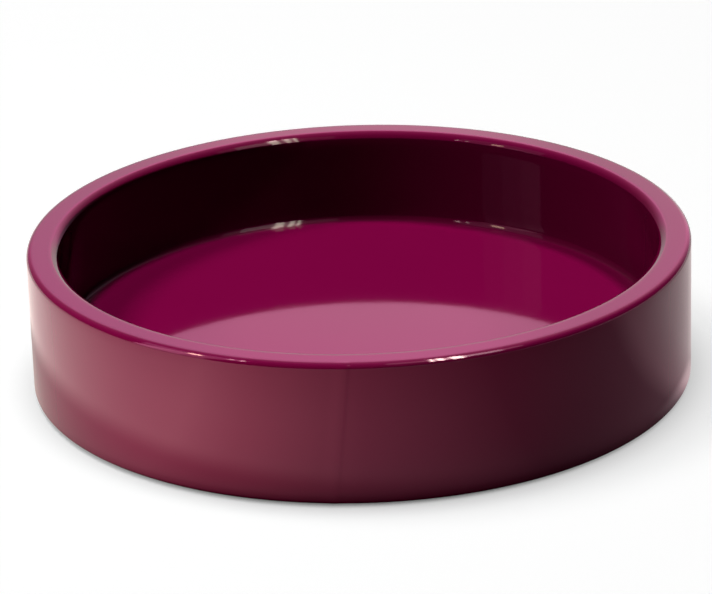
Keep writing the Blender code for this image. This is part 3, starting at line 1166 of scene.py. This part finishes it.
top_lamp = soft_lamp("top_soft_light", TOP_LAMP, TOP_SIZE, TOP_POWER, LAMP_WHITE)
left_lamp = soft_lamp("left_soft_light", LEFT_LAMP, LEFT_SIZE, LEFT_POWER, LEFT_COLOUR)
top_lamp.light_linking.receiver_collection = all_but("not_lit_by_the_top_lamp", floor)
left_lamp.light_linking.receiver_collection = all_but("not_lit_by_the_side_lamp", floor)
table_lamp = soft_lamp("table_soft_light", TABLE_LAMP, TABLE_LAMP_SIZE, TABLE_LAMP_POWER, LAMP_WHITE)
table_only = bpy.data.collections.new("lit_by_the_table_lamp")
table_only.objects.link(floor)
table_lamp.light_linking.receiver_collection = table_only


# Flag over the rim
# A lune between the inside wall's top edge and that edge, a little smaller, carried towards the top
# lamp, so that this lamp reaches the floor but not the inside wall. The left lamp passes it by.
FLAG_TURNS = (-163, 33)
FLAG_POINTS = 61
FLAG_HEIGHT = 0.001
FLAG_REACH = 0.016
FLAG_INSET = 0.0032

flag_turn = np.radians(np.linspace(*FLAG_TURNS, FLAG_POINTS))
wall_edge = np.stack([np.sin(flag_turn), -np.cos(flag_turn)], 1) * inside_radius
lamp_turn = np.radians(TOP_LAMP[0])
lamp_way = np.array([np.sin(lamp_turn), -np.cos(lamp_turn)])
carried_edge = wall_edge * (1 - FLAG_INSET / inside_radius) + FLAG_REACH * lamp_way
flag_outline = np.concatenate([wall_edge, carried_edge[::-1]]).tolist()
flag = card("lamp_flag", [(x, y, rim_z + FLAG_HEIGHT) for x, y in flag_outline])
flag.visible_camera = False
flag.visible_diffuse = False
flag.visible_glossy = False
flag.visible_transmission = False
flag.visible_volume_scatter = False
left_lamp.light_linking.blocker_collection = all_but("passed_by_the_side_lamp", flag)


# Camera
# A long lens, 22 degrees above level, that stands where the photograph's outlines of rim and foot put
# it. It is turned a few pixels off the tray's middle and rolled a little, as the photograph is.
PICTURE_WIDTH = 712
FOCAL_PIXELS = 3999.0
SENSOR_WIDTH = 36.0
DISTANCE = 1.5166
ROLL = np.radians(1.76)
AIM_RIGHT = 4.3
AIM_UP = -5.4
AIM_BELOW_RIM = 0.0275
CLIP_START = 0.1
CLIP_END = 20


def swung(first, second, angle):
    """Two directions turned about their common normal, the first towards the second."""
    towards_second = np.cos(angle) * first + np.sin(angle) * second
    away_from_first = np.cos(angle) * second - np.sin(angle) * first
    return towards_second, away_from_first


def place_camera():
    """Looks at the wall's mid height, turned so that this lands a few pixels off centre, and rolled."""
    data = bpy.data.cameras.new("photo_camera")
    data.sensor_width = SENSOR_WIDTH
    data.lens = data.sensor_width * FOCAL_PIXELS / PICTURE_WIDTH
    data.clip_start = CLIP_START
    data.clip_end = CLIP_END
    back = np.array([0, -np.cos(VIEW_RISE), np.sin(VIEW_RISE)])
    ahead = -back
    right = np.array([1.0, 0, 0])
    up = np.cross(right, ahead)
    right, ahead = swung(right, ahead, np.arctan(AIM_RIGHT / FOCAL_PIXELS))
    up, ahead = swung(up, ahead, np.arctan(AIM_UP / FOCAL_PIXELS))
    up, right = swung(up, right, ROLL)
    aim = np.array([0, 0, rim_z - AIM_BELOW_RIM])
    turn = Matrix(np.stack([right, up, -ahead], 1).tolist()).to_4x4()
    camera = bpy.data.objects.new("photo_camera", data)
    bpy.context.scene.collection.objects.link(camera)
    camera.matrix_world = Matrix.Translation(aim + back * DISTANCE) @ turn
    return camera


bpy.context.scene.camera = place_camera()
bpy.context.scene.view_settings.view_transform = "Standard"
